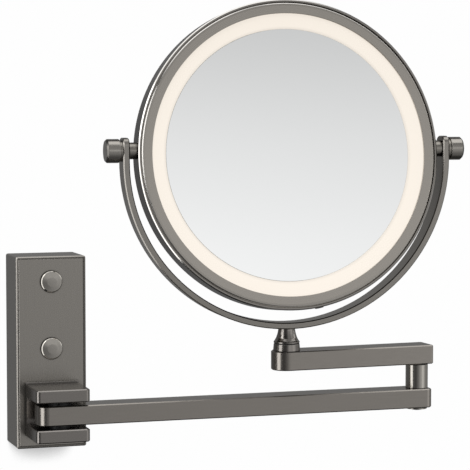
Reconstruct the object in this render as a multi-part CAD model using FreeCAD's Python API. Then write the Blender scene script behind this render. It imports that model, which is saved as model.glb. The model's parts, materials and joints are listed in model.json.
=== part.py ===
"""Extendable shaving mirror for a bathroom wall.

A hollow wall plate carries a clevis. A lower arm swings in the clevis, an upper arm turns on a
column at the far end of the lower arm, and a U-shaped yoke swivels on the upper arm. The yoke
holds a round, lit, two-sided mirror head that tilts between two knobs.

Frame, in millimetres: the origin is the middle of the plate's wall face. +X runs to the right
along the wall, +Y runs into the wall, so the mirror looks towards -Y, and +Z is up.
"""
import FreeCAD, Part
import math
import os

V = FreeCAD.Vector

# ---------------------------------------------------------------- driving dimensions
# wall plate
plate_width = 49.0
plate_height = 133.0
plate_depth = 34.0
plate_side_wall = 2.5
plate_front_wall = 3.0
plate_corner_radius = 1.5
panel_inset = 1.6           # centre panel, in from each edge of the front
groove_width = 0.7          # the fine groove round the panel
groove_depth = 0.7
panel_bevel = 0.4           # on the panel's edge, beside the groove
wall_screw_upper_drop = 17.5  # from the plate's top edge
wall_screw_lower_z = 2.6
wall_screw_hole_radius = 2.6
wall_screw_seat_depth = 12.0  # from the wall face to the screw head's seat
wall_screw_head_radius = 5.0
screw_pillar_wall = 2.4
cap_radius = 7.5
cap_recess_depth = 1.0
cap_rise = 2.8
cap_crown = 0.7             # the part of the rise that is domed
cap_chamfer = 0.8
cap_stem_length = 6.0

# clevis on the plate
clevis_width = 37.5
clevis_middle_rise = 26.9   # above the plate's bottom edge
lug_thickness = 8.75
lug_corner_radius = 3.0
clevis_web = 5.0
clevis_lip_rise = 1.4       # the back lip stands this far above the upper lug
clevis_lip_depth = 1.4
clevis_screw_radius = 2.5
clevis_screw_grip = 10.0    # length in the clevis
hinge_pin_radius = 4.0
hinge_pin_head_radius = 5.8
hinge_pin_head_height = 3.0
hinge_pin_thread_radius = 3.0
hinge_pin_thread_length = 6.0
hinge_washer_radius = 7.0
hinge_washer_thickness = 1.5

# arms
arm_width = 20.5
arm_height = 13.5
arm_gap = 2.55              # between the lower arm and each lug
arm_front_setback = 2.0     # the arm's front face lies this far behind the clevis front
arm_hinge_end = 16.5        # from the hinge pin to the arm's near end
arm_hinge_corner_radius = 7.0
arm_swing_room = 1.71       # between the swinging end of the arm and the clevis web
lower_arm_length = 263.0    # hinge pin to elbow axis
arm_elbow_end = 8.6         # from the elbow axis to each arm's end
lower_elbow_corner_radius = 4.5
upper_elbow_corner_radius = 1.6
upper_arm_length = 101.2    # elbow axis to swivel axis
arm_swivel_end = 11.0       # from the swivel axis to the arm's round end
elbow_rest_angle = 3.0      # the folded upper arm leans out from the wall by this angle
hinge_bush_radius = 5.5
hinge_bush_flange_radius = 8.0

# elbow
elbow_column_radius = 8.0
elbow_column_height = 18.0  # clear height between the arms
elbow_spigot_depth = 2.0
elbow_shank_radius = 4.0
elbow_thread_radius = 3.0
elbow_thread_length = 10.0
elbow_bush_radius = 6.0
elbow_washer_thickness = 0.8
elbow_spring_thickness = 0.6
elbow_spring_radius = 6.8
elbow_cap_radius = 7.4
elbow_cap_height = 2.1
elbow_cap_crown = 1.2       # the part of that height that is domed

# swivel under the yoke
collar_radius = 9.5
collar_height = 4.8
collar_spigot_radius = 7.0
collar_spigot_depth = 3.0
swivel_washer_thickness = 0.5
swivel_washer_radius = 8.7
bell_base_radius = 9.2
bell_top_radius = 5.9
bell_height = 10.2
bell_waist_height = 0.45    # part of the height, and of the flare still left there
bell_waist_flare = 0.30
swivel_shaft_radius = 4.0
swivel_bush_radius = 6.0
swivel_nut_pocket_radius = 8.0
swivel_nut_pocket_depth = 4.0
swivel_nut_flats = 13.0
swivel_nut_height = 3.0
yoke_rest_yaw = -2.5        # the mirror looks a little to the left of straight out

# yoke
yoke_side_gap = 5.6         # between the head's rim and the yoke
yoke_thickness = 4.5
yoke_width = 14.8
yoke_drop = 7.0             # the half circle's centre lies this far below the pivot
yoke_tip_rise = 9.0         # the yoke's ends rise this far above the pivot
yoke_tip_radius = 5.0
yoke_screw_radius = 2.0
yoke_screw_head_radius = 4.2
yoke_screw_head_height = 2.1
yoke_screw_length = 10.0
pivot_bush_radius = 4.5

# tilt pivot
pivot_stud_radius = 3.0
pivot_stud_flange_radius = 5.0
pivot_stud_flange = 1.5
pivot_spacer_radius = 5.75
pivot_block_length = 7.0
pivot_block_height = 16.0
pivot_block_depth = 6.4
knob_radius = 8.2
knob_length = 9.6
knob_chamfer = 1.2
knob_crown = 0.35
knob_washer_radius = 7.3
knob_washer_thickness = 1.8
knob_bore_depth = 7.3

# mirror head
head_radius = 108.0
head_thickness = 18.0
head_drop = 4.0             # the head's centre hangs this far below the tilt axis
head_rest_tilt = 5.2        # the mirror looks up by this angle
band_thickness = 1.6
rim_width = 9.7             # seen from the front
bezel_flange = 1.4
bezel_skirt_depth = 3.2
bezel_skirt_wall = 1.7
bezel_setback = 0.2         # the land lies this far behind the band's edge
rim_chamfer = 0.75           # bevel on the band's outer edges
seam_width = 0.35
seam_depth = 1.0             # from the band's front edge to the seam's floor
land_chamfer = 0.75          # bevel on the land's outer edge, down into the seam
diffuser_width = 10.6       # seen from the front, between rim and glass
mirror_glass = 2.0
mirror_recess = 4.6         # from the head's face to the glass
rear_mirror_glass = 1.8
rear_mirror_sag = 2.0       # hollow of the magnifying glass
diffuser_wall = 1.9
diffuser_tuck = 3.0         # how far it reaches under the bezel
core_flange = 1.5
core_width = 21.7           # how far the core reaches in behind the glass
core_front_y = -2.2
core_rear_y = 1.2
tape_width = 6.0
tape_inset = 1.7
led_ring_width = 6.4
led_ring_inset = 1.7        # in from the rim's inner edge
led_board = 1.0
led_count = 48
led_size = (1.6, 0.8, 3.0)  # across, high, along the ring
battery_size = (84.0, 2.4, 56.0)
flex_width = 6.0
flex_thickness = 0.3
board_width = 5.4
board_inset = 4.0           # in from the rim
board_thickness = 1.0
board_half_angle = 20.0
board_side_offset = 2.8     # front face of the board, from the head's middle plane
port_angle = -11.0          # from straight down, seen from the front, to the left
port_size = (8.9, 3.3, 6.9)
port_wall = 0.35
button_angle = 11.0
button_radius = 3.2
button_length = 3.3
button_proud = 1.0
switch_size = (5.2, 3.4, 2.2)

# clearances
running = 0.05              # shaft in a bush, radial, and thrust faces
thread_fit = 0.05           # screw in its tapped hole, radial
free = 0.3                  # pieces that pass each other without touching
seat = 0.1                  # pieces that drop into a pocket
edge_bevel = 0.7            # flat bevel on the outer edges of bars, lugs and strips


# ---------------------------------------------------------------- places worked out from them
plate_front_y = -plate_depth
wall_screw_upper_z = plate_height / 2 - wall_screw_upper_drop
clevis_middle_z = clevis_middle_rise - plate_height / 2
arm_corner_reach = math.hypot(arm_hinge_end - arm_hinge_corner_radius,
                              arm_width / 2 - arm_hinge_corner_radius)
arm_swing_radius = arm_corner_reach + arm_hinge_corner_radius
clevis_depth = (arm_front_setback + arm_width / 2 + arm_swing_radius + arm_swing_room
                + clevis_web)
clevis_front_y = plate_front_y - clevis_depth
hinge_y = clevis_front_y + arm_front_setback + arm_width / 2
lug_gap = arm_height + 2 * arm_gap
lug_inner_upper_z = clevis_middle_z + lug_gap / 2
lug_inner_lower_z = clevis_middle_z - lug_gap / 2
clevis_top_z = lug_inner_upper_z + lug_thickness
clevis_bottom_z = lug_inner_lower_z - lug_thickness
lower_arm_top_z = clevis_middle_z + arm_height / 2
lower_arm_bottom_z = clevis_middle_z - arm_height / 2
upper_arm_bottom_z = lower_arm_top_z + elbow_column_height
upper_arm_top_z = upper_arm_bottom_z + arm_height
collar_top_z = upper_arm_top_z + collar_height
bell_bottom_z = collar_top_z + swivel_washer_thickness + running
yoke_bottom_z = bell_bottom_z + bell_height
yoke_half_width = head_radius + yoke_side_gap + yoke_thickness
pivot_z = yoke_bottom_z + yoke_drop + yoke_half_width
head_half = head_thickness / 2
yoke_inner = yoke_half_width - yoke_thickness
bezel_inner_radius = head_radius - rim_width
mirror_radius = bezel_inner_radius - diffuser_width
core_inner_radius = mirror_radius - core_width
led_ring_outer_radius = bezel_inner_radius - led_ring_inset
led_ring_inner_radius = led_ring_outer_radius - led_ring_width
board_outer_radius = head_radius - board_inset
board_inner_radius = board_outer_radius - board_width


# ---------------------------------------------------------------- shape helpers
def box(x, y, z):
    """A box from three (low, high) pairs."""
    return Part.makeBox(x[1] - x[0], y[1] - y[0], z[1] - z[0], V(x[0], y[0], z[0]))


def rod(axis, radius, span, centre=(0.0, 0.0)):
    """A cylinder along X, Y or Z between the two ends of span, centred on the other two axes."""
    start, end = min(span), max(span)
    a, b = centre
    base = {"X": V(start, a, b), "Y": V(a, start, b), "Z": V(a, b, start)}[axis]
    direction = {"X": V(1, 0, 0), "Y": V(0, 1, 0), "Z": V(0, 0, 1)}[axis]
    return Part.makeCylinder(radius, end - start, base, direction)


def tube(axis, outer, inner, span, centre=(0.0, 0.0)):
    """A cylinder with a bore right through it."""
    return rod(axis, outer, span, centre).cut(rod(axis, inner, span, centre))


def outline_face(steps, point):
    """A flat face from a closed outline. A step is a corner (a, b), or an arc (middle, end)."""
    edges = []
    first = last = point(*steps[0])
    for step in steps[1:] + [steps[0]]:
        if isinstance(step[0], tuple):
            middle, end = point(*step[0]), point(*step[1])
            edges.append(Part.Arc(last, middle, end).toShape())
        else:
            end = point(*step)
            if end.isEqual(last, 1e-7):
                continue
            edges.append(Part.LineSegment(last, end).toShape())
        last = end
    if not last.isEqual(first, 1e-7):
        edges.append(Part.LineSegment(last, first).toShape())
    return Part.Face(Part.Wire(edges))


def turned(axis, steps):
    """A solid of revolution about Y or Z from an outline of (radius, place along the axis)."""
    if axis == "Z":
        face = outline_face(steps, lambda r, t: V(r, 0, t))
        return face.revolve(V(0, 0, 0), V(0, 0, 1), 360)
    face = outline_face(steps, lambda r, t: V(r, t, 0))
    return face.revolve(V(0, 0, 0), V(0, 1, 0), 360)


def bar_face(x, half_width, left_radius, right_radius, z):
    """A bar's plan at height z, with its own corner radius at each end."""
    low, high = x
    lr, rr = left_radius, right_radius
    bulge = math.sqrt(0.5)
    steps = [
        (low + lr, -half_width),
        (high - rr, -half_width),
        ((high - rr + rr * bulge, -half_width + rr - rr * bulge), (high, -half_width + rr)),
        (high, half_width - rr),
        ((high - rr + rr * bulge, half_width - rr + rr * bulge), (high - rr, half_width)),
        (low + lr, half_width),
        ((low + lr - lr * bulge, half_width - lr + lr * bulge), (low, half_width - lr)),
        (low, -half_width + lr),
        ((low + lr - lr * bulge, -half_width + lr - lr * bulge), (low + lr, -half_width)),
    ]
    return outline_face(steps, lambda a, b: V(a, b, z))


def rim_edges(shape, z_values):
    """The edges of a shape that lie wholly at one of these heights."""
    return [
        edge for edge in shape.Edges
        if any(abs(edge.BoundBox.ZMin - z) < 1e-6 and abs(edge.BoundBox.ZMax - z) < 1e-6
               for z in z_values)
    ]


def bar(x, bottom_z, left_radius, right_radius):
    """A flat arm with bevelled upper and lower edges."""
    face = bar_face(x, arm_width / 2, left_radius, right_radius, bottom_z)
    solid = face.extrude(V(0, 0, arm_height))
    return solid.makeChamfer(edge_bevel, rim_edges(solid, (bottom_z, bottom_z + arm_height)))


def hexagon(flats, z, centre=(0.0, 0.0)):
    """A hexagonal prism between the two heights of z."""
    reach = flats / math.sqrt(3)
    corners = [
        V(centre[0] + reach * math.cos(math.radians(60 * i)),
          centre[1] + reach * math.sin(math.radians(60 * i)), z[0])
        for i in range(6)
    ]
    face = Part.Face(Part.makePolygon(corners + corners[:1]))
    return face.extrude(V(0, 0, z[1] - z[0]))


def turn(shape, angle, axis, centre):
    """A copy of the shape, turned by an angle in degrees about an axis through a centre."""
    copy = shape.copy()
    copy.rotate(centre, axis, angle)
    return copy


def dome(radius, rim, rise):
    """How far a spherical dome over a round rim still rises at a radius; it is rise at 0."""
    sphere = (rim * rim + rise * rise) / (2 * rise)
    return math.sqrt(sphere * sphere - radius * radius) - (sphere - rise)


def fused(*shapes):
    """One solid from several that meet or overlap."""
    whole = shapes[0].fuse(list(shapes[1:]))
    return whole.removeSplitter()


def mirrored(shape):
    """The shape's mirror image on the other side of the head, across the plane X = 0."""
    return shape.mirror(V(0, 0, 0), V(1, 0, 0))


def other_face(shape):
    """The shape's mirror image on the head's rear, across the plane Y = 0."""
    return shape.mirror(V(0, 0, 0), V(0, 1, 0))


# ---------------------------------------------------------------- wall plate and clevis
def wall_plate():
    """A hollow die-cast cover, open at the wall, with two pillars for the wall screws."""
    half_w, half_h = plate_width / 2, plate_height / 2
    body = box((-half_w, half_w), (plate_front_y, 0), (-half_h, half_h))
    corners = [e for e in body.Edges if e.BoundBox.YLength > 1]
    body = body.makeFillet(plate_corner_radius, corners)
    front = [e for e in body.Edges if abs(e.BoundBox.YMax - plate_front_y) < 1e-6]
    body = body.makeChamfer(edge_bevel, front)
    floor_y = plate_front_y + groove_depth
    panel_w, panel_h = half_w - panel_inset, half_h - panel_inset
    panel = box((-panel_w, panel_w), (plate_front_y, floor_y), (-panel_h, panel_h))
    front = [e for e in panel.Edges if abs(e.BoundBox.YMax - plate_front_y) < 1e-6]
    panel = panel.makeChamfer(panel_bevel, front)
    rim_w, rim_h = panel_w + groove_width, panel_h + groove_width
    groove = box((-rim_w, rim_w), (plate_front_y, floor_y), (-rim_h, rim_h)).cut(panel)
    body = body.cut(groove)
    hollow_w, hollow_h = half_w - plate_side_wall, half_h - plate_side_wall
    hollow = box((-hollow_w, hollow_w), (plate_front_y + plate_front_wall, 0),
                 (-hollow_h, hollow_h))
    body = body.cut(hollow)
    for z in (wall_screw_upper_z, wall_screw_lower_z):
        pillar_radius = wall_screw_head_radius + screw_pillar_wall
        body = fused(body, rod("Y", pillar_radius, (plate_front_y + plate_front_wall, 0), (0, z)))
        body = body.cut(rod("Y", wall_screw_hole_radius, (-wall_screw_seat_depth, 0), (0, z)))
        body = body.cut(rod("Y", wall_screw_head_radius,
                            (plate_front_y, -wall_screw_seat_depth), (0, z)))
        body = body.cut(rod("Y", cap_radius + free,
                            (plate_front_y, plate_front_y + cap_recess_depth), (0, z)))
    for z in clevis_screw_heights():
        body = body.cut(rod("Y", clevis_screw_radius + seat,
                            (plate_front_y, plate_front_y + plate_front_wall), (0, z)))
    return body


def screw_cap(z):
    """A domed plug that hides a wall screw's head."""
    seat_y = plate_front_y + cap_recess_depth
    stem = wall_screw_head_radius - seat
    rim = cap_radius - cap_chamfer
    crown_y = plate_front_y - cap_rise + cap_crown
    plug = turned("Y", [
        (0, seat_y + cap_stem_length),
        (stem - 0.5, seat_y + cap_stem_length),
        (stem, seat_y + cap_stem_length - 0.5),
        (stem, seat_y),
        (cap_radius, seat_y),
        (cap_radius, crown_y + cap_chamfer),
        (rim, crown_y),
        ((rim / 2, crown_y - dome(rim / 2, rim, cap_crown)), (0, crown_y - cap_crown)),
    ])
    plug.translate(V(0, 0, z))
    return plug


def clevis_screw_heights():
    """The clevis screws enter the middles of the two lugs."""
    return (lug_inner_upper_z + lug_thickness / 2, lug_inner_lower_z - lug_thickness / 2)


def lug(bottom_z):
    """One ear of the clevis, square against the plate and rounded at its front corners."""
    half, r = clevis_width / 2, lug_corner_radius
    bulge = math.sqrt(0.5)
    back, front = plate_front_y, clevis_front_y
    face = outline_face([
        (-half, back),
        (-half, front + r),
        ((-half + r - r * bulge, front + r - r * bulge), (-half + r, front)),
        (half - r, front),
        ((half - r + r * bulge, front + r - r * bulge), (half, front + r)),
        (half, back),
    ], lambda a, b: V(a, b, bottom_z))
    solid = face.extrude(V(0, 0, lug_thickness))
    rims = [e for e in rim_edges(solid, (bottom_z, bottom_z + lug_thickness))
            if e.BoundBox.YMin < back - 1e-6]
    return solid.makeChamfer(edge_bevel, rims)


def clevis_bracket():
    """A C-shaped casting: a web against the plate, and two lugs for the hinge pin."""
    half = clevis_width / 2
    web = box((-half, half), (plate_front_y - clevis_web, plate_front_y),
              (lug_inner_lower_z - 1, lug_inner_upper_z + 1))
    lip = box((-half, half), (plate_front_y - clevis_lip_depth, plate_front_y),
              (clevis_top_z - 1, clevis_top_z + clevis_lip_rise))
    lip_edges = [e for e in lip.Edges if e.BoundBox.ZMin > clevis_top_z + clevis_lip_rise - 1e-6
                 and e.BoundBox.YMax < plate_front_y - 1e-6]
    body = fused(lug(lug_inner_upper_z), lug(clevis_bottom_z), web, lip.makeFillet(0.5, lip_edges))
    centre = (0, hinge_y)
    body = body.cut(rod("Z", hinge_pin_radius + running, (clevis_bottom_z, lug_inner_lower_z),
                        centre))
    body = body.cut(rod("Z", hinge_pin_head_radius + seat,
                        (clevis_bottom_z, clevis_bottom_z + hinge_pin_head_height), centre))
    body = body.cut(rod("Z", hinge_pin_thread_radius + thread_fit,
                        (lug_inner_upper_z, lug_inner_upper_z + hinge_pin_thread_length + 0.5),
                        centre))
    for z in clevis_screw_heights():
        body = body.cut(rod("Y", clevis_screw_radius + thread_fit,
                            (plate_front_y - clevis_screw_grip - 1, plate_front_y), (0, z)))
    return body


def clevis_screws():
    """Two screws that hold the clevis from inside the hollow plate."""
    screws = []
    inner_y = plate_front_y + plate_front_wall
    for z in clevis_screw_heights():
        shank = rod("Y", clevis_screw_radius, (plate_front_y - clevis_screw_grip, inner_y), (0, z))
        head = rod("Y", clevis_screw_radius * 1.8, (inner_y, inner_y + clevis_screw_radius * 1.2),
                   (0, z))
        drive = rod("Y", clevis_screw_radius * 0.7,
                    (inner_y + clevis_screw_radius * 0.4, inner_y + clevis_screw_radius * 1.2),
                    (0, z))
        screws.append(fused(shank, head).cut(drive))
    return screws


def hinge_pin():
    """A shoulder screw: its head is sunk in the lower lug and its thread is in the upper one."""
    centre = (0, hinge_y)
    head_top = clevis_bottom_z + hinge_pin_head_height
    head = rod("Z", hinge_pin_head_radius, (clevis_bottom_z + seat, head_top), centre)
    shoulder = rod("Z", hinge_pin_radius, (head_top, lug_inner_upper_z - running), centre)
    thread = rod("Z", hinge_pin_thread_radius,
                 (lug_inner_upper_z - running, lug_inner_upper_z + hinge_pin_thread_length), centre)
    drive = hexagon(5.0, (clevis_bottom_z + seat, clevis_bottom_z + 2.2), centre)
    return fused(head, shoulder, thread).cut(drive)


def hinge_washer(against_upper):
    """An acetal washer between a lug and the arm's bush."""
    if against_upper:
        span = (lug_inner_upper_z - hinge_washer_thickness, lug_inner_upper_z)
    else:
        span = (lug_inner_lower_z, lug_inner_lower_z + hinge_washer_thickness)
    return tube("Z", hinge_washer_radius, hinge_pin_radius + running, span, (0, hinge_y))


# ---------------------------------------------------------------- lower arm, hinge end at X = 0
def lower_arm():
    """A solid aluminium bar with a bore for the hinge bushes and one for the elbow."""
    body = bar((-arm_hinge_end, lower_arm_length + arm_elbow_end), lower_arm_bottom_z,
               arm_hinge_corner_radius, lower_elbow_corner_radius)
    body = body.cut(rod("Z", hinge_bush_radius, (lower_arm_bottom_z, lower_arm_top_z)))
    body = body.cut(rod("Z", elbow_bush_radius, (lower_arm_bottom_z, lower_arm_top_z),
                        (lower_arm_length, 0)))
    return body


def hinge_bush(upper):
    """A flanged acetal bush, pressed into the arm from above or below."""
    flange = arm_gap - hinge_washer_thickness - running
    bore = hinge_pin_radius + running
    if upper:
        sleeve, collar = (clevis_middle_z, lower_arm_top_z), (lower_arm_top_z,
                                                               lower_arm_top_z + flange)
    else:
        sleeve, collar = (lower_arm_bottom_z, clevis_middle_z), (lower_arm_bottom_z - flange,
                                                                  lower_arm_bottom_z)
    body = fused(rod("Z", hinge_bush_radius, sleeve), rod("Z", hinge_bush_flange_radius, collar))
    return body.cut(rod("Z", bore, (collar[0] - arm_height, collar[1] + arm_height)))


def elbow_column():
    """The round post between the arms, with a spigot that seats in the lower arm."""
    top = upper_arm_bottom_z - elbow_washer_thickness - running
    centre = (lower_arm_length, 0)
    post = rod("Z", elbow_column_radius, (lower_arm_top_z, top), centre)
    ends = rim_edges(post, (top, lower_arm_top_z))
    post = post.makeChamfer(0.3, ends)
    spigot = rod("Z", elbow_bush_radius, (lower_arm_top_z - elbow_spigot_depth, lower_arm_top_z),
                 centre)
    bore = rod("Z", elbow_shank_radius + free, (lower_arm_top_z - elbow_spigot_depth, top), centre)
    return fused(post, spigot).cut(bore)


def elbow_bush():
    """An acetal sleeve in the lower arm, which the elbow bolt turns in."""
    return tube("Z", elbow_bush_radius, elbow_shank_radius + running,
                (lower_arm_bottom_z, lower_arm_top_z - elbow_spigot_depth), (lower_arm_length, 0))


# ---------------------------------------------------------------- upper arm, elbow at X = 0
def upper_arm():
    """The short bar, which runs to the left from the elbow and is round at the swivel."""
    swivel_x = -upper_arm_length
    body = bar((swivel_x - arm_swivel_end, arm_elbow_end), upper_arm_bottom_z,
               arm_width / 2, upper_elbow_corner_radius)
    body = body.cut(rod("Z", elbow_thread_radius + thread_fit,
                        (upper_arm_bottom_z, upper_arm_bottom_z + elbow_thread_length + 0.3)))
    centre = (swivel_x, 0)
    body = body.cut(rod("Z", swivel_bush_radius, (upper_arm_bottom_z, upper_arm_top_z), centre))
    body = body.cut(rod("Z", swivel_nut_pocket_radius,
                        (upper_arm_bottom_z, upper_arm_bottom_z + swivel_nut_pocket_depth), centre))
    body = body.cut(rod("Z", collar_spigot_radius + seat,
                        (upper_arm_top_z - collar_spigot_depth, upper_arm_top_z), centre))
    return body


def elbow_bolt():
    """A domed shoulder bolt, up through the lower arm and the column into the upper arm."""
    head_top = lower_arm_bottom_z - running - elbow_spring_thickness
    rim = elbow_cap_radius * 0.85
    crown_z = head_top - elbow_cap_height + elbow_cap_crown
    return turned("Z", [
        (0, crown_z - elbow_cap_crown),
        ((rim / 2, crown_z - dome(rim / 2, rim, elbow_cap_crown)), (rim, crown_z)),
        (elbow_cap_radius, crown_z),
        (elbow_cap_radius, head_top),
        (elbow_shank_radius, head_top),
        (elbow_shank_radius, upper_arm_bottom_z),
        (elbow_thread_radius, upper_arm_bottom_z),
        (elbow_thread_radius, upper_arm_bottom_z + elbow_thread_length),
        (0, upper_arm_bottom_z + elbow_thread_length),
    ])


def elbow_washer():
    """An acetal thrust washer under the upper arm."""
    return tube("Z", elbow_column_radius - free, elbow_shank_radius + running,
                (upper_arm_bottom_z - elbow_washer_thickness, upper_arm_bottom_z))


def elbow_spring_washer():
    """A spring washer over the bolt's head, which sets the elbow's friction."""
    top = lower_arm_bottom_z - running
    return tube("Z", elbow_spring_radius, elbow_shank_radius + running,
                (top - elbow_spring_thickness, top))


def swivel_collar():
    """A turned collar that seats in the arm and carries the swivel."""
    body = turned("Z", [
        (swivel_shaft_radius + free, upper_arm_top_z - collar_spigot_depth),
        (collar_spigot_radius, upper_arm_top_z - collar_spigot_depth),
        (collar_spigot_radius, upper_arm_top_z),
        (collar_radius, upper_arm_top_z),
        (collar_radius, collar_top_z - 0.5),
        (collar_radius - 0.5, collar_top_z),
        (swivel_shaft_radius + free, collar_top_z),
    ])
    body.translate(V(-upper_arm_length, 0, 0))
    return body


def swivel_washer():
    """An acetal washer between the collar and the bell."""
    return tube("Z", swivel_washer_radius, swivel_shaft_radius + running,
                (collar_top_z, collar_top_z + swivel_washer_thickness), (-upper_arm_length, 0))


def swivel_bush():
    """An acetal sleeve in the arm, which the swivel shaft turns in."""
    return tube("Z", swivel_bush_radius, swivel_shaft_radius + running,
                (upper_arm_bottom_z + swivel_nut_pocket_depth,
                 upper_arm_top_z - collar_spigot_depth), (-upper_arm_length, 0))


# ---------------------------------------------------------------- yoke, swivel axis at X = Y = 0
def swivel_bell():
    """The flared neck under the yoke: wide and upright at its foot, hollowed in to its top."""
    foot = bell_bottom_z + 0.7
    waist_z = bell_bottom_z + bell_height * bell_waist_height
    waist_r = bell_top_radius + (bell_base_radius - bell_top_radius) * bell_waist_flare
    return turned("Z", [
        (swivel_shaft_radius, bell_bottom_z),
        (bell_base_radius - 0.3, bell_bottom_z),
        (bell_base_radius, bell_bottom_z + 0.3),
        (bell_base_radius, foot),
        ((waist_r, waist_z), (bell_top_radius, yoke_bottom_z)),
        (swivel_shaft_radius, yoke_bottom_z),
    ])


def swivel_shaft():
    """The steel shaft, threaded for its nut below and tapped for the yoke screw above."""
    bottom = upper_arm_bottom_z + 0.3
    body = rod("Z", swivel_shaft_radius, (bottom, yoke_bottom_z))
    tapped = rod("Z", yoke_screw_radius + thread_fit,
                 (yoke_bottom_z - yoke_screw_length - 0.5, yoke_bottom_z))
    return body.cut(tapped)


def swivel_spring_washer():
    """A spring washer between the nut and the arm, which sets the swivel's friction."""
    top = upper_arm_bottom_z + swivel_nut_pocket_depth - running
    return tube("Z", swivel_bush_radius, swivel_shaft_radius,
                (top - 0.6, top))


def swivel_nut():
    """A thin lock nut, hidden in a pocket under the arm."""
    top = upper_arm_bottom_z + swivel_nut_pocket_depth - running - 0.6
    body = hexagon(swivel_nut_flats, (top - swivel_nut_height, top))
    return body.cut(rod("Z", swivel_shaft_radius, (top - swivel_nut_height, top)))


def yoke():
    """A flat strip bent to a half circle, with straight ends that carry the tilt pivots."""
    outer, inner = yoke_half_width, yoke_inner
    centre_z = pivot_z - yoke_drop
    tip_z = pivot_z + yoke_tip_rise
    face = outline_face([
        (-outer, tip_z),
        (-outer, centre_z),
        ((0, centre_z - outer), (outer, centre_z)),
        (outer, tip_z),
        (inner, tip_z),
        (inner, centre_z),
        ((0, centre_z - inner), (-inner, centre_z)),
        (-inner, tip_z),
    ], lambda a, b: V(a, -yoke_width / 2, b))
    strip = face.extrude(V(0, yoke_width, 0))
    tips = [e for e in strip.Edges if e.BoundBox.ZMin > tip_z - 1e-6 and e.BoundBox.XLength > 1]
    strip = strip.makeFillet(yoke_tip_radius, tips)
    long_edges = []
    for edge in strip.Edges:
        size = edge.BoundBox
        across = size.YLength < 1e-6 and size.ZLength < 1e-6
        seam = size.XLength < 1e-6 and size.ZLength < 1e-6 and size.ZMax < pivot_z
        if not across and not seam:
            long_edges.append(edge)
    strip = strip.makeChamfer(edge_bevel, long_edges)
    for side in (-1, 1):
        strip = strip.cut(rod("X", pivot_bush_radius, (side * inner, side * outer), (0, pivot_z)))
    head_top = yoke_bottom_z + yoke_thickness
    sink = Part.makeCone(yoke_screw_radius + seat, yoke_screw_head_radius + seat,
                         yoke_screw_head_height, V(0, 0, head_top - yoke_screw_head_height))
    strip = strip.cut(rod("Z", yoke_screw_radius + seat, (yoke_bottom_z, head_top)))
    return strip.cut(sink)


def yoke_screw():
    """A countersunk screw from inside the yoke into the swivel shaft."""
    head_top = yoke_bottom_z + yoke_thickness - seat / 2
    head = Part.makeCone(yoke_screw_radius, yoke_screw_head_radius - seat,
                         yoke_screw_head_height, V(0, 0, head_top - yoke_screw_head_height))
    shank = rod("Z", yoke_screw_radius, (yoke_bottom_z - yoke_screw_length, head_top - 0.5))
    drive = hexagon(2.5, (head_top - 1.3, head_top + 1))
    return fused(head, shank).cut(drive)


def pivot_bush():
    """A nylon sleeve in the right end of the yoke."""
    return tube("X", pivot_bush_radius, pivot_stud_radius + running,
                (yoke_inner, yoke_half_width), (0, pivot_z))


# ---------------------------------------------------------------- head, centre at the origin
def housing_band():
    """The metal band round the head, with bevelled edges, drilled for what passes it."""
    inner, front_radius = head_radius - band_thickness, head_radius - rim_chamfer
    side_y = head_half - rim_chamfer
    band = turned("Y", [
        (inner, head_half),
        (inner, -head_half),
        (front_radius, -head_half),
        (head_radius, -side_y),
        (head_radius, side_y),
        (front_radius, head_half),
    ])
    for side in (-1, 1):
        band = band.cut(rod("X", pivot_stud_radius + thread_fit,
                            (side * (head_radius - 4), side * (head_radius + 1)), (0, head_drop)))
    band = band.cut(at_angle(port_block(seat, 4), port_angle))
    return band.cut(at_angle(rod("Z", button_radius + running,
                                 (-head_radius - 1, -head_radius + 4)), button_angle))


def at_angle(shape, angle):
    """Moves a shape made at the head's lowest point round the rim, to the left if negative."""
    return turn(shape, -angle, V(0, 1, 0), V(0, 0, 0))


def bezel():
    """The front ring: a flat land with a bevelled outer edge, a seam, and a skirt in the band."""
    face_y = -head_half + bezel_setback
    inside = head_radius - band_thickness - seat / 2
    seam_inner = inside - seam_width
    seam_y = -head_half + seam_depth
    skirt_inner = inside - bezel_skirt_wall
    flange_y = face_y + bezel_flange
    return turned("Y", [
        (bezel_inner_radius, flange_y),
        (bezel_inner_radius, face_y + 0.3),
        (bezel_inner_radius + 0.3, face_y),
        (seam_inner - land_chamfer, face_y),
        (seam_inner, face_y + land_chamfer),
        (seam_inner, seam_y),
        (inside, seam_y),
        (inside, seam_y + bezel_skirt_depth),
        (skirt_inner, seam_y + bezel_skirt_depth),
        (skirt_inner, flange_y),
    ])


def diffuser():
    """The opal ring: a flat edge under the bezel, then a slope down to the glass."""
    top_y = -head_half + bezel_setback + bezel_flange
    glass_y = -head_half + mirror_recess
    inner = mirror_radius + seat
    knee = bezel_inner_radius - 0.2
    return turned("Y", [
        (knee + diffuser_tuck, top_y),
        (knee, top_y),
        (inner, glass_y - 0.1),
        (inner, glass_y - 0.1 + diffuser_wall),
        (knee - 0.6, top_y + diffuser_wall),
        (knee + diffuser_tuck, top_y + diffuser_wall),
    ])


def front_mirror():
    """The plain glass, with a ground edge."""
    face_y = -head_half + mirror_recess
    return turned("Y", [
        (0, face_y),
        (mirror_radius - 0.4, face_y),
        (mirror_radius, face_y + 0.4),
        (mirror_radius, face_y + mirror_glass),
        (0, face_y + mirror_glass),
    ])


def rear_mirror():
    """The magnifying glass: both of its faces are hollow towards the rear."""
    edge_y = head_half - mirror_recess
    r, sag, glass = mirror_radius, rear_mirror_sag, rear_mirror_glass
    middle_sag = dome(r / 2, r, sag)
    return turned("Y", [
        (0, edge_y - sag),
        ((r / 2, edge_y - middle_sag), (r, edge_y)),
        (r, edge_y - glass),
        ((r / 2, edge_y - glass - middle_sag), (0, edge_y - glass - sag)),
    ])


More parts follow.
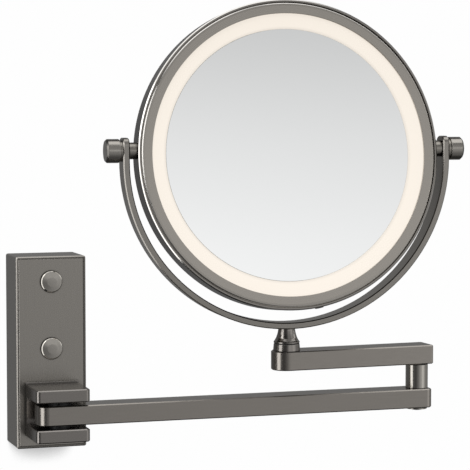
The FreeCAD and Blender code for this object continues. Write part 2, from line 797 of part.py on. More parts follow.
def core_frame():
    """The moulded frame between the glasses. It carries the lights, the pivots and the board."""
    rim = head_radius - band_thickness - seat
    half = core_flange / 2
    rest_inner, rest_outer = mirror_radius + 0.6, mirror_radius + 2.0
    rest_y = head_half - mirror_recess - diffuser_wall + 0.1
    frame = turned("Y", [
        (core_inner_radius, core_rear_y),
        (core_inner_radius, core_front_y),
        (mirror_radius - 0.2, core_front_y),
        (mirror_radius - 0.2, -half),
        (rest_inner, -half),
        (rest_inner, -rest_y),
        (rest_outer, -rest_y),
        (rest_outer, -half),
        (rim, -half),
        (rim, half),
        (rest_outer, half),
        (rest_outer, rest_y),
        (rest_inner, rest_y),
        (rest_inner, half),
        (mirror_radius - 0.2, half),
        (mirror_radius - 0.2, core_rear_y),
    ])
    reach = head_half
    for side in (-1, 1):
        low, high = sorted((side * (pivot_block_inner() - pivot_stud_flange - seat), side * (rim + 1)))
        slot = box((low, high), (-reach, reach),
                   (head_drop - pivot_block_height / 2 - seat,
                    head_drop + pivot_block_height / 2 + seat))
        frame = frame.cut(slot)
    frame = frame.cut(board_sector(board_inner_radius - 0.4, rim + 1, (-reach, reach),
                                   board_half_angle + 1.5))
    channel = box((-flex_width / 2 - 0.5, flex_width / 2 + 0.5),
                  (-flex_thickness / 2 - seat, core_rear_y + 1),
                  (-board_inner_radius - 1, -core_inner_radius + 1))
    return frame.cut(channel)


def board_sector(inner, outer, y, half_angle):
    """A piece of a flat ring at the bottom of the head, between two radii and two depths."""
    swing = math.radians(half_angle)

    def on(radius, angle):
        return (radius * math.sin(angle), -radius * math.cos(angle))

    face = outline_face([
        on(inner, -swing),
        on(outer, -swing),
        (on(outer, 0), on(outer, swing)),
        on(inner, swing),
        (on(inner, 0), on(inner, -swing)),
    ], lambda a, b: V(a, y[0], b))
    return face.extrude(V(0, y[1] - y[0], 0))


def mirror_tape(front):
    """A ring of foam tape between a glass and the frame."""
    outer = mirror_radius - tape_inset
    if front:
        span = (-head_half + mirror_recess + mirror_glass, core_front_y)
    else:
        back = head_half - mirror_recess - rear_mirror_glass
        share = 1 - ((outer - tape_width) / mirror_radius) ** 2
        span = (core_rear_y, back - rear_mirror_sag * share)
    return tube("Y", outer, outer - tape_width, span)


def led_ring():
    """The front light's circuit ring."""
    return tube("Y", led_ring_outer_radius, led_ring_inner_radius,
                (-core_flange / 2 - led_board, -core_flange / 2))


def led_chips():
    """The front light's chips, evenly spaced round their ring."""
    across, high, along = led_size
    middle = (led_ring_inner_radius + led_ring_outer_radius) / 2
    base_y = -core_flange / 2 - led_board
    chip = box((middle - across / 2, middle + across / 2), (base_y - high, base_y),
               (-along / 2, along / 2))
    step = 360.0 / led_count
    return [turn(chip, step * (i + 0.5), V(0, 1, 0), V(0, 0, 0)) for i in range(led_count)]


def battery():
    """A flat lithium pouch cell behind the plain glass."""
    wide, thick, high = battery_size
    front = -head_half + mirror_recess + mirror_glass
    pouch = box((-wide / 2, wide / 2), (front, front + thick), (-high / 2, high / 2))
    corners = [e for e in pouch.Edges if e.BoundBox.YLength > 1]
    return pouch.makeFillet(3.0, corners)


def battery_flex():
    """The flat lead from the cell down to the control board."""
    half = flex_thickness / 2
    return box((-flex_width / 2, flex_width / 2), (-half, half),
               (-board_inner_radius - 0.3, -battery_size[2] / 2))


def control_board():
    """The charging and switching circuit, low in the rim."""
    return board_sector(board_inner_radius, board_outer_radius,
                        (-board_side_offset, -board_side_offset + board_thickness),
                        board_half_angle)


def port_block(grow, extra):
    """The outer block of the charging port at the lowest point, grown all round."""
    wide, deep, tall = port_size
    base_y = -board_side_offset + board_thickness
    low_z = -head_radius + 0.3
    block = box((-wide / 2 - grow, wide / 2 + grow), (base_y - grow, base_y + deep + grow),
                (low_z - extra, low_z + tall))
    long_edges = [e for e in block.Edges if e.BoundBox.ZLength > 1]
    return block.makeFillet(1.4, long_edges)


def charging_port():
    """A small reversible charging socket: a metal shell with a tongue inside."""
    wide, deep, tall = port_size
    base_y = -board_side_offset + board_thickness
    low_z = -head_radius + 0.3
    hollow = box((-wide / 2 + port_wall, wide / 2 - port_wall),
                 (base_y + port_wall, base_y + deep - port_wall), (low_z - 1, low_z + tall - 1.2))
    hollow = hollow.makeFillet(1.1, [e for e in hollow.Edges if e.BoundBox.ZLength > 1])
    middle = base_y + deep / 2
    tongue = box((-wide / 2 + 1.2, wide / 2 - 1.2), (middle - 0.35, middle + 0.35),
                 (low_z + 0.8, low_z + tall - 1.2))
    shell = fused(port_block(0, 0).cut(hollow), tongue)
    return at_angle(shell, port_angle)


def switch_body():
    """The small press switch on the board, under the button."""
    wide, deep, tall = switch_size
    base_y = -board_side_offset + board_thickness
    inner_end = -head_radius + button_length + seat + 0.8 - button_proud
    body = box((-wide / 2, wide / 2), (base_y, base_y + deep), (inner_end, inner_end + tall))
    return at_angle(body, button_angle)


def power_button():
    """The round push button in the rim."""
    outer = -head_radius - button_proud
    button = rod("Z", button_radius, (outer, outer + button_length))
    button = button.makeFillet(0.5, rim_edges(button, (outer,)))
    return at_angle(button, button_angle)


def pivot_block_inner():
    """The inner end of a pivot block, from the head's centre line."""
    return head_radius - band_thickness - seat - pivot_block_length


def pivot_block():
    """A die-cast block inside the rim, on the right, that anchors the stud."""
    inner = pivot_block_inner()
    block = box((inner, head_radius), (-pivot_block_depth / 2, pivot_block_depth / 2),
                (head_drop - pivot_block_height / 2, head_drop + pivot_block_height / 2))
    block = block.common(rod("Y", head_radius - band_thickness - seat / 2, (-head_half, head_half)))
    return block.cut(rod("X", pivot_stud_radius + thread_fit, (0, head_radius), (0, head_drop)))


def pivot_stud():
    """The steel stud that the head tilts on, on the right: flange inside, thread in the knob."""
    inner = pivot_block_inner()
    knob_start = yoke_half_width + running + knob_washer_thickness + running
    flange = rod("X", pivot_stud_flange_radius, (inner - pivot_stud_flange, inner), (0, head_drop))
    shank = rod("X", pivot_stud_radius, (inner - 0.5, knob_start + knob_bore_depth - 0.4),
                (0, head_drop))
    flange = flange.common(box((0, head_radius), (-pivot_block_depth / 2, pivot_block_depth / 2),
                               (-head_radius, head_radius)))
    return fused(flange, shank)


def pivot_spacer():
    """The collar between the rim and the yoke, on the right, cut to the rim's curve."""
    body = rod("X", pivot_spacer_radius, (head_radius - 2, yoke_inner - running), (0, head_drop))
    body = body.makeChamfer(0.4, [e for e in body.Edges
                                  if e.BoundBox.XMin > yoke_inner - running - 1e-6])
    body = body.cut(rod("Y", head_radius, (-head_half, head_half)))
    return body.cut(rod("X", pivot_stud_radius + seat, (0, yoke_half_width), (0, head_drop)))


def knob_washer():
    """The metal washer between the yoke and the right knob."""
    start = yoke_half_width + running
    return tube("X", knob_washer_radius, pivot_stud_radius + seat,
                (start, start + knob_washer_thickness), (0, head_drop))


def tilt_knob():
    """The right clamping knob: a plain drum with a chamfered end and a faint crown."""
    start = yoke_half_width + running + knob_washer_thickness + running
    end = start + knob_length
    rim, crown_x = knob_radius - knob_chamfer, end - knob_crown
    face = outline_face([
        (start, 0),
        (start, knob_radius - 0.4),
        (start + 0.4, knob_radius),
        (crown_x - knob_chamfer, knob_radius),
        (crown_x, rim),
        ((crown_x + dome(rim / 2, rim, knob_crown), rim / 2), (end, 0)),
    ], lambda a, r: V(a, 0, head_drop + r))
    knob = face.revolve(V(0, 0, head_drop), V(1, 0, 0), 360)
    return knob.cut(rod("X", pivot_stud_radius + thread_fit, (start, start + knob_bore_depth),
                        (0, head_drop)))


# ---------------------------------------------------------------- assembly at rest
elbow_at = V(lower_arm_length, hinge_y, 0)
upper_arm_place = FreeCAD.Placement(elbow_at, FreeCAD.Rotation(V(0, 0, 1), elbow_rest_angle))
swivel_at = upper_arm_place.multVec(V(-upper_arm_length, 0, 0))
lower_arm_place = FreeCAD.Placement(V(0, hinge_y, 0), FreeCAD.Rotation())
yoke_place = FreeCAD.Placement(swivel_at, FreeCAD.Rotation(V(0, 0, 1), yoke_rest_yaw))
tilt_place = FreeCAD.Placement(V(0, 0, pivot_z), FreeCAD.Rotation(V(1, 0, 0), -head_rest_tilt))
head_place = yoke_place.multiply(tilt_place).multiply(
    FreeCAD.Placement(V(0, 0, -head_drop), FreeCAD.Rotation()))
fixed_place = FreeCAD.Placement()


def save(node, shape, place):
    """Places a piece, or a group of identical pieces, and writes its STEP file."""
    pieces = shape if isinstance(shape, list) else [shape]
    placed = []
    for piece in pieces:
        copy = piece.copy()
        copy.Placement = place.multiply(copy.Placement)
        placed += copy.Solids
    whole = placed[0] if len(placed) == 1 else Part.makeCompound(placed)
    if not whole.isValid() or not all(s.isClosed() for s in placed):
        print("check this piece:", node)
    whole.exportStep("parts/" + node + ".step")


def both_sides(name, shape, place):
    """Saves a piece made for the right side of the head or yoke, and its left twin."""
    save(name + "_right", shape, place)
    save(name + "_left", mirrored(shape), place)


def build():
    """Makes every piece and writes it where it lies at rest."""
    os.makedirs("parts", exist_ok=True)
    save("wall_plate", wall_plate(), fixed_place)
    save("screw_cap_upper", screw_cap(wall_screw_upper_z), fixed_place)
    save("screw_cap_lower", screw_cap(wall_screw_lower_z), fixed_place)
    save("clevis_bracket", clevis_bracket(), fixed_place)
    save("clevis_screws", clevis_screws(), fixed_place)
    save("hinge_pin", hinge_pin(), fixed_place)
    save("hinge_washer_upper", hinge_washer(True), fixed_place)
    save("hinge_washer_lower", hinge_washer(False), fixed_place)

    save("lower_arm", lower_arm(), lower_arm_place)
    save("hinge_bush_upper", hinge_bush(True), lower_arm_place)
    save("hinge_bush_lower", hinge_bush(False), lower_arm_place)
    save("elbow_column", elbow_column(), lower_arm_place)
    save("elbow_bush", elbow_bush(), lower_arm_place)

    save("upper_arm", upper_arm(), upper_arm_place)
    save("elbow_bolt", elbow_bolt(), upper_arm_place)
    save("elbow_washer", elbow_washer(), upper_arm_place)
    save("elbow_spring_washer", elbow_spring_washer(), upper_arm_place)
    save("swivel_collar", swivel_collar(), upper_arm_place)
    save("swivel_washer", swivel_washer(), upper_arm_place)
    save("swivel_bush", swivel_bush(), upper_arm_place)

    save("swivel_bell", swivel_bell(), yoke_place)
    save("swivel_shaft", swivel_shaft(), yoke_place)
    save("swivel_spring_washer", swivel_spring_washer(), yoke_place)
    save("swivel_nut", swivel_nut(), yoke_place)
    save("yoke", yoke(), yoke_place)
    save("yoke_screw", yoke_screw(), yoke_place)
    both_sides("pivot_bush", pivot_bush(), yoke_place)

    save("housing_band", housing_band(), head_place)
    save("front_bezel", bezel(), head_place)
    save("rear_bezel", other_face(bezel()), head_place)
    save("front_diffuser", diffuser(), head_place)
    save("rear_diffuser", other_face(diffuser()), head_place)
    save("front_mirror", front_mirror(), head_place)
    save("rear_mirror", rear_mirror(), head_place)
    save("core_frame", core_frame(), head_place)
    save("mirror_tape_front", mirror_tape(True), head_place)
    save("mirror_tape_rear", mirror_tape(False), head_place)
    save("led_ring_front", led_ring(), head_place)
    save("led_ring_rear", other_face(led_ring()), head_place)
    save("led_chips_front", led_chips(), head_place)
    save("led_chips_rear", [other_face(chip) for chip in led_chips()], head_place)
    save("battery", battery(), head_place)
    save("battery_flex", battery_flex(), head_place)
    save("control_board", control_board(), head_place)
    save("charging_port", charging_port(), head_place)
    save("press_switch", switch_body(), head_place)
    both_sides("pivot_block", pivot_block(), head_place)
    both_sides("pivot_stud", pivot_stud(), head_place)
    both_sides("pivot_spacer", pivot_spacer(), head_place)
    both_sides("knob_washer", knob_washer(), head_place)
    both_sides("tilt_knob", tilt_knob(), head_place)
    save("power_button", power_button(), head_place)

    pivot_at = yoke_place.multVec(V(0, 0, pivot_z))
    print("hinge axis", tuple(round(c, 4) for c in (0, hinge_y, clevis_middle_z)))
    print("elbow axis", tuple(round(c, 4) for c in elbow_at))
    print("swivel axis", tuple(round(c, 4) for c in swivel_at))
    print("tilt axis through", tuple(round(c, 4) for c in pivot_at), "along",
          tuple(round(c, 6) for c in yoke_place.Rotation.multVec(V(1, 0, 0))))
    press = at_angle(Part.Vertex(0, 0, 1), button_angle).Point
    print("button presses along", tuple(round(c, 6) for c in head_place.Rotation.multVec(press)))


build()
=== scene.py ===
import json
import math

import bmesh
import bpy
import numpy as np
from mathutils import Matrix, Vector


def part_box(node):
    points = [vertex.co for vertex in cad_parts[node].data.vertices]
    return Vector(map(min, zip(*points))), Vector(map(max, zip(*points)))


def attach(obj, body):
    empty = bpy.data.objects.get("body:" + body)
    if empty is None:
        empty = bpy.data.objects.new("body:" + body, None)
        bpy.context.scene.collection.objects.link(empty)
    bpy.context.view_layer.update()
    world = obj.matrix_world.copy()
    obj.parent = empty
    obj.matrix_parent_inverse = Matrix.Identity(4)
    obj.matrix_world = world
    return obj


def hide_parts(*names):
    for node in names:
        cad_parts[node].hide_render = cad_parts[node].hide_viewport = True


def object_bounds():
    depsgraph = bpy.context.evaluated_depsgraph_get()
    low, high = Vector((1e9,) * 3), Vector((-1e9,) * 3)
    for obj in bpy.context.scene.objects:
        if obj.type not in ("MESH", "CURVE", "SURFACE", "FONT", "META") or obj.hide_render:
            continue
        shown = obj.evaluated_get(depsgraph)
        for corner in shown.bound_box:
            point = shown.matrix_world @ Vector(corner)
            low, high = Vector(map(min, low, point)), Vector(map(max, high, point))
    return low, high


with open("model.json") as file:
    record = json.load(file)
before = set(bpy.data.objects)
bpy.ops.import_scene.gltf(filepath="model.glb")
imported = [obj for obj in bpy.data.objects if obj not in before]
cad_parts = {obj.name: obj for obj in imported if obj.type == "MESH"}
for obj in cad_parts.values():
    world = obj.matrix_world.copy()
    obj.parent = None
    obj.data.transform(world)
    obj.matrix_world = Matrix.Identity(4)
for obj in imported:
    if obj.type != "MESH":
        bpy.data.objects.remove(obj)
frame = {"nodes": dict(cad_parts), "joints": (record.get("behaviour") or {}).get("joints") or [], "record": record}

cad_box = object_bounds()
nodes = frame["nodes"]
joints = {joint["name"]: joint for joint in frame["joints"]}
MM = 0.001

# Plating: how its fine lines change it, and the painted shade that darkens its corners and seams.
NOISE_LOW, NOISE_HIGH = 0.25, 0.75     # what the line noise mostly stays between
GLOSSIER, DULLER = 0.04, 0.05          # roughness taken off and put on along the lines
DARKER, LIGHTER = 0.92, 1.08           # share of the colour along the lines
SHELTERED, OPEN = 0.3, 0.8             # how open a full shadow and a plain face are
PAINTED_SHADE_SHARE = 0.22                   # share of the colour left in a full shadow
LINE_BUMP = 0.05                       # strength of the lines' relief

# The head, in mm: radii from its axis, and depths from its middle plane to either face.
HEAD_HALF = 9.0
GLASS_RADIUS, GLASS_FACE, GLASS_BACK = 87.7, 4.4, 2.4
REAR_GLASS_THICK, REAR_GLASS_SAG = 1.8, 2.0
OPAL_GLOW_FROM, OPAL_BORE, OPAL_TOP = 87.8, 87.85, 7.38
OPAL_FLANGE, OPAL_FLANGE_UNDER = 101.1, 5.5
LAND_INNER, LAND_UNDER = 98.3, 7.6
LAND_STEP, LAND_STEP_UNDER = 101, 7.4
SKIRT_INNER, SKIRT_OUTER, SKIRT_FOOT, SEAM_FLOOR = 104.65, 106.36, 4.9, 7.9
EDGE_INNER, EDGE_OUTER, EDGE_FOOT = 106.25, 108.02, 7.4
EDGE_FACE = HEAD_HALF + 0.02
RIM_CHAMFER = 0.75
TILT_UP, HEAD_DROP = 5.2, 4.0          # degrees the head looks up, mm it hangs below the pivots

# Knobs, caps, collar and column, in mm.
KNOB_RADIUS, KNOB_INNER_END, KNOB_SIDE_END = 8.2, 120.0, 128.1
CAP_RADIUS, CAP_RISE, CAP_FOOT, CAP_SHANK, CAP_SHANK_END = 7.5, 2.8, 1.0, 4.9, 7.0
SWIVEL_BORE, COLLAR_WAIST, COLLAR_FOOT = 4.3, 7.0, -7.8
BELL_BORE, BELL_FOOT = 4.0, 9.15
COLUMN_RADIUS, COLUMN_SPIGOT, COLUMN_FOOT = 8.0, 6.0, -19.1

# Points round a turned piece.
ROUND_HEAD, ROUND_PIECE, ROUND_CAP = 288, 128, 96


# ------------------------------------------------------------------ colours and node trees
def linear(code):
    """An sRGB hex colour as linear red, green, blue and full alpha."""
    s = np.array([int(code[i:i + 2], 16) for i in (1, 3, 5)]) / 255
    rgb = np.where(s <= 0.04045, s / 12.92, ((s + 0.055) / 1.055) ** 2.4)
    return (*rgb.tolist(), 1.0)


def add(tree, kind, settings=None, links=None, values=None):
    """Adds one node with its settings; its inputs take values or links, by name or by number."""
    node = tree.nodes.new(kind)
    for key, value in (settings or {}).items():
        setattr(node, key, value)
    for key, value in (values or {}).items():
        node.inputs[key].default_value = value
    for key, socket in (links or {}).items():
        tree.links.new(socket, node.inputs[key])
    return node


def new_material(name):
    """An empty node material and its output node."""
    material = bpy.data.materials.new(name)
    material.use_nodes = True
    material.node_tree.nodes.clear()
    return material, add(material.node_tree, "ShaderNodeOutputMaterial")


def new_object(name, data):
    """An object at the origin, in the scene."""
    item = bpy.data.objects.new(name, data)
    bpy.context.scene.collection.objects.link(item)
    return item


def plated(tree, output, pattern, code, roughness, depth, painted_shade_reach):
    """Black nickel plating over a pattern of fine lines: the part every gunmetal shares.

    The lines change the roughness a little and stand depth mm high. Inside corners and narrow
    seams, within painted_shade_reach mm of another face, are darkened by ambient occlusion: painted
    shade.
    """
    gloss = add(tree, "ShaderNodeMapRange", links={"Value": pattern},
                values={"From Min": NOISE_LOW, "From Max": NOISE_HIGH,
                        "To Min": roughness - GLOSSIER, "To Max": roughness + DULLER})
    tint = add(tree, "ShaderNodeMix", {"data_type": "RGBA"}, {"Factor": pattern},
               {6: [c * DARKER for c in linear(code)[:3]] + [1.0],
                7: [min(c * LIGHTER, 1.0) for c in linear(code)[:3]] + [1.0]})
    # Painted shade: ambient occlusion darkens the colour in corners and seams.
    painted_shade_ao = add(tree, "ShaderNodeAmbientOcclusion", {"samples": 8},
                  values={"Distance": painted_shade_reach * MM})
    unshaded_share = add(tree, "ShaderNodeMapRange", links={"Value": painted_shade_ao.outputs["AO"]},
                   values={"From Min": SHELTERED, "From Max": OPEN,
                           "To Min": PAINTED_SHADE_SHARE, "To Max": 1.0})
    colour = add(tree, "ShaderNodeMix", {"data_type": "RGBA", "blend_type": "MULTIPLY"},
                 {6: tint.outputs[2], 7: unshaded_share.outputs["Result"]}, {"Factor": 1.0})
    bump = add(tree, "ShaderNodeBump", links={"Height": pattern},
               values={"Strength": LINE_BUMP, "Distance": depth * MM})
    shader = add(tree, "ShaderNodeBsdfPrincipled",
                 links={"Base Color": colour.outputs[2], "Roughness": gloss.outputs["Result"],
                        "Normal": bump.outputs["Normal"]}, values={"Metallic": 1.0})
    tree.links.new(shader.outputs["BSDF"], output.inputs["Surface"])


def brushed_gunmetal(name, code, stretch, roughness, painted_shade_reach=1.5):
    """Zinc and steel plated in black nickel, then brushed.

    Seen as a neutral dark grey with a soft sheen, drawn out along the brushing. stretch gives
    the brush lines' spacing in mm along X, Y and Z: long along the brushing, 0.4 mm or more
    across it, which is coarser than the real 0.05 mm so that it shows.
    """
    material, output = new_material(name)
    tree = material.node_tree
    place = add(tree, "ShaderNodeTexCoord")
    fit = add(tree, "ShaderNodeMapping", links={"Vector": place.outputs["Object"]},
              values={"Scale": [1 / (s * MM) for s in stretch]})
    lines = add(tree, "ShaderNodeTexNoise", links={"Vector": fit.outputs["Vector"]},
                values={"Scale": 1.0, "Detail": 3.0, "Roughness": 0.6})
    plated(tree, output, lines.outputs["Fac"], code, roughness, 0.02, painted_shade_reach)
    return material


def turned_gunmetal(name, code, roughness, painted_shade_reach=1.2, spacing=0.3):
    """The same plating on a part finished in a lathe.

    The eye sees fine rings round the axis, spacing mm apart, and bands of light along it. The
    rings are noise on the surface's own distance from the axis and place along it.
    """
    material, output = new_material(name)
    tree = material.node_tree
    place = add(tree, "ShaderNodeAttribute", {"attribute_name": "turning"})
    rings = add(tree, "ShaderNodeTexNoise", links={"Vector": place.outputs["Vector"]},
                values={"Scale": 1 / (spacing * MM), "Detail": 3.0, "Roughness": 0.6})
    plated(tree, output, rings.outputs["Fac"], code, roughness, 0.01, painted_shade_reach)
    return material


def plain(name, code, **values):
    """One colour with a faint unevenness, so that no surface looks perfectly flat.

    values are the shader's own inputs: Metallic for metal or silvering, Roughness for its gloss.
    """
    material, output = new_material(name)
    tree = material.node_tree
    place = add(tree, "ShaderNodeTexCoord")
    grain = add(tree, "ShaderNodeTexNoise", links={"Vector": place.outputs["Object"]},
                values={"Scale": 1 / (1.5 * MM), "Detail": 2.0})
    bump = add(tree, "ShaderNodeBump", links={"Height": grain.outputs["Fac"]},
               values={"Strength": 0.1, "Distance": 0.01 * MM})
    shader = add(tree, "ShaderNodeBsdfPrincipled", links={"Normal": bump.outputs["Normal"]},
                 values={"Base Color": linear(code), **values})
    tree.links.new(shader.outputs["BSDF"], output.inputs["Surface"])
    return material


def lit_opal(name, inner):
    """Opal acrylic lit by the ring of chips behind it.

    A warm even glow that dims by a sixth over the last two millimetres beside the glass, which
    starts inner mm from the middle.
    """
    material, output = new_material(name)
    tree = material.node_tree
    place = add(tree, "ShaderNodeAttribute", {"attribute_name": "turning"})
    parts = add(tree, "ShaderNodeSeparateXYZ", links={"Vector": place.outputs["Vector"]})
    glow = add(tree, "ShaderNodeMapRange", links={"Value": parts.outputs["X"]},
               values={"From Min": inner * MM, "From Max": (inner + 2) * MM,
                       "To Min": 0.64, "To Max": 0.765})
    shader = add(tree, "ShaderNodeBsdfPrincipled",
                 links={"Emission Strength": glow.outputs["Result"]},
                 values={"Base Color": linear("#64625f"), "Roughness": 0.4,
                         "Emission Color": linear("#fff5e8")})
    tree.links.new(shader.outputs["BSDF"], output.inputs["Surface"])
    return material


# The spacing of brush lines along X, Y and Z in mm.
ALONG_X, ALONG_Z, ACROSS_YOKE = (25, 0.45, 0.45), (0.4, 0.4, 25), (0.5, 14, 0.5)
# Brushed gunmetal gives a soft dark grey sheen, streaked along the brushing. Each piece's grey is
# set a little lighter or darker than the next, as painted light and shade for how bright it shows.
metal = brushed_gunmetal("brushed_gunmetal", "#97938c", ALONG_X, 0.26)
metal_plate = brushed_gunmetal("brushed_gunmetal_plate", "#9b9791", ALONG_Z, 0.26, 6.0)
metal_clevis = brushed_gunmetal("brushed_gunmetal_clevis", "#8a8682", ALONG_X, 0.22, 6.0)
metal_arm = brushed_gunmetal("brushed_gunmetal_arm", "#96918b", ALONG_X, 0.22, 3.0)
metal_yoke = brushed_gunmetal("brushed_gunmetal_yoke", "#9b9791", ACROSS_YOKE, 0.24)
# The band is a nearly black copy of the same gunmetal, painted shade for its sideways face, and sets the land off.
metal_band = brushed_gunmetal("brushed_gunmetal_band", "#5c5957", ALONG_X, 0.24, 4.0)
# Turned gunmetal gives bright and dark bands along round pieces. Its greys are likewise lighter and
# darker copies of one plating, as painted light and shade: the knob's edge and the rim are darkened,
# so the knob's outline stays crisp, and the land is an even mid grey.
metal_turned = turned_gunmetal("turned_gunmetal", "#b0aca5", 0.15)
metal_bell = turned_gunmetal("turned_gunmetal_bell", "#8d8984", 0.17)
metal_knob = turned_gunmetal("turned_gunmetal_knob", "#a39f99", 0.2)
metal_knob_edge = turned_gunmetal("turned_gunmetal_knob_edge", "#6f6c68", 0.3)
metal_rim = turned_gunmetal("turned_gunmetal_rim", "#8a8681", 0.24, 0.3)
metal_land = turned_gunmetal("turned_gunmetal_land", "#a9a49d", 0.26, 0.8)
# Polished bevels catch the side light as thin white lines round the rim. Their much lighter grey
# is a painted highlight that makes those lines white.
metal_bright = turned_gunmetal("polished_gunmetal_painted_highlight", "#d8d5d0", 0.12, 0.25)
# The lit ring is a flat warm white, the brightest thing on the object.
opal = lit_opal("opal_acrylic", OPAL_GLOW_FROM)
# Silvering shows the room as it is, hardly tinted, and its ground edge is a matt grey line.
silver = plain("silvered_glass", "#f4f5f5", Metallic=1.0, Roughness=0.01)
glass_edge = plain("ground_glass_edge", "#8d918e", Roughness=0.4)
# Screws, nuts and pins are a lighter, plainer grey than the plating.
steel = plain("machined_steel", "#b0b0ae", Metallic=1.0, Roughness=0.3)
# The acetal bushes are near black, a painted shade that makes the seams they fill look deep;
# the tapes, the switch and the button are near black too.
black = plain("black_moulding_and_seam_shade", "#141414", Roughness=0.5)
# The core and all that it carries are off-white, and hidden.
acetal = plain("white_acetal", "#dedbd4", Roughness=0.45)
# The acetal slot takes the near black: painted shade in the seams it fills.
by_slot = {"gunmetal_steel": metal, "gunmetal_aluminium": metal, "plain_steel": steel,
           "acetal": black, "mirror_glass": silver, "foam_tape": black, "switch_body": black,
           "button_plastic": black}
by_node = {"lower_arm": metal_arm, "upper_arm": metal_arm, "wall_plate": metal_plate,
           "clevis_bracket": metal_clevis, "housing_band": metal_band, "yoke": metal_yoke}

slot_of = {s["node"]: s["material_slot"] for s in frame["record"]["subparts"]}
for name, node in nodes.items():
    chosen = by_node.get(name, by_slot.get(slot_of[name], acetal))
    for material_slot in node.material_slots:
        material_slot.material = chosen


# ------------------------------------------------------------------ turned surfaces
ARC_SHARE = 0.48       # of the shorter side, the most that a rounded corner may use
WELD = 1e-7            # metres within which two points are one


def eased(corners, steps=6, hold=0.06):
    """A profile through (across, along, rounding, finish) corners in mm.

    Each inner corner becomes an arc that touches both of its sides: its centre lies on the
    bisector, at rounding over the sine of half the corner, and its points turn evenly from one
    side to the other. A point hold mm beyond each end of the arc keeps the flats flat under
    smooth shading.
    finish is the number of the finish from that corner to the next.
    """
    spots = np.array([corner[:2] for corner in corners], float)
    points, kinds = [spots[:1]], []
    for i, (_, _, rounding, finish) in enumerate(corners[1:-1], 1):
        back, ahead = spots[i - 1] - spots[i], spots[i + 1] - spots[i]
        reach = min(np.linalg.norm(back), np.linalg.norm(ahead)) * ARC_SHARE
        back, ahead = back / np.linalg.norm(back), ahead / np.linalg.norm(ahead)
        half = math.acos(np.clip(back @ ahead, -1, 1)) / 2
        touch = min(rounding / math.tan(half), reach)
        radius = touch * math.tan(half)
        middle = (back + ahead) / np.linalg.norm(back + ahead) * radius / math.sin(half)
        first, last = back * touch - middle, ahead * touch - middle
        sweep = math.pi - 2 * half
        share = np.linspace(0, 1, steps + 1)[:, None]
        arc = (np.sin((1 - share) * sweep) * first + np.sin(share * sweep) * last) / math.sin(sweep)
        spot = spots[i] + middle + arc
        spot = np.vstack([spot[:1] + back * hold, spot, spot[-1:] + ahead * hold])
        kinds += [corners[i - 1][3]] * 2 + [finish] * (steps + 1)
        points.append(spot)
    points.append(spots[-1:])
    kinds.append(corners[-2][3])
    return np.vstack(points), np.array(kinds)


def turned(name, profile, origin, turn, axis, finishes, body, node, around):
    """A profile swept once round an axis.

    At angle t a point lies at across * cos t and across * sin t on the two other axes, and at
    along on the axis itself. turn is the rotation to the shared frame, and origin the place in
    it. The finishes are numbered by the profile, and node is the CAD node it stands for, if any.
    """
    points, kinds = profile
    t = np.linspace(0, 2 * math.pi, around, endpoint=False)
    across, along = points[:, :1] * MM, points[:, 1:] * MM
    first, second = across * np.cos(t), across * np.sin(t)
    level = along + 0 * t
    order = {"X": (level, first, second), "Y": (second, level, first),
             "Z": (first, second, level)}[axis]
    local = np.stack(order, axis=-1)
    place = local @ np.array(turn).T + np.array(origin)
    rows = len(points)
    number = np.arange(rows * around).reshape(rows, around)
    following = np.roll(number, -1, axis=1)
    quads = np.stack([number[:-1], following[:-1], following[1:], number[1:]], axis=-1)
    mesh = bpy.data.meshes.new(name)
    mesh.from_pydata(place.reshape(-1, 3), [], quads.reshape(-1, 4))
    mesh.polygons.foreach_set("material_index", np.repeat(kinds, around).astype(np.int32))
    turning = mesh.attributes.new("turning", "FLOAT_VECTOR", "POINT")
    spread = np.stack([across + 0 * t, level, 0 * level], axis=-1)
    turning.data.foreach_set("vector", spread.reshape(-1).astype(np.float32))
    shape = bmesh.new()
    shape.from_mesh(mesh)
    bmesh.ops.remove_doubles(shape, verts=shape.verts, dist=WELD)
    bmesh.ops.recalc_face_normals(shape, faces=shape.faces)
    shape.to_mesh(mesh)
    shape.free()
    mesh.polygons.foreach_set("use_smooth", np.ones(len(mesh.polygons), bool))
    for finish in finishes:
        mesh.materials.append(finish)
    item = new_object(name, mesh)
    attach(item, body)
    if node:
        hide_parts(node)


def rotation(axis, degrees):
    """The 3 by 3 matrix that turns by degrees about X or Z."""
    c, s = math.cos(math.radians(degrees)), math.sin(math.radians(degrees))
    if axis == "X":
        return np.array([[1, 0, 0], [0, c, -s], [0, s, c]])
    return np.array([[c, -s, 0], [s, c, 0], [0, 0, 1]])


UPRIGHT = np.eye(3)
tilt = joints["head_tilt"]
yoke_turn = rotation("Z", math.degrees(math.atan2(tilt["axis"][1], tilt["axis"][0])))
head_turn = yoke_turn @ rotation("X", -TILT_UP)
pivot = np.array(tilt["pos_m"])
head_centre = pivot + head_turn @ np.array([0, 0, -HEAD_DROP * MM])


# ------------------------------------------------------------------ mirror head
def both_faces(name, corners, finishes, node):
    """One turned ring on the front of the head and its mirror image on the rear."""
    for side, sign in (("front", -1), ("rear", 1)):
        flipped = [(r, sign * y, e, k) for r, y, e, k in corners]
        turned(f"{side}_{name}", eased(flipped), head_centre, head_turn, "Y", finishes, "head",
               f"{side}_{node}" if node else None, ROUND_HEAD)


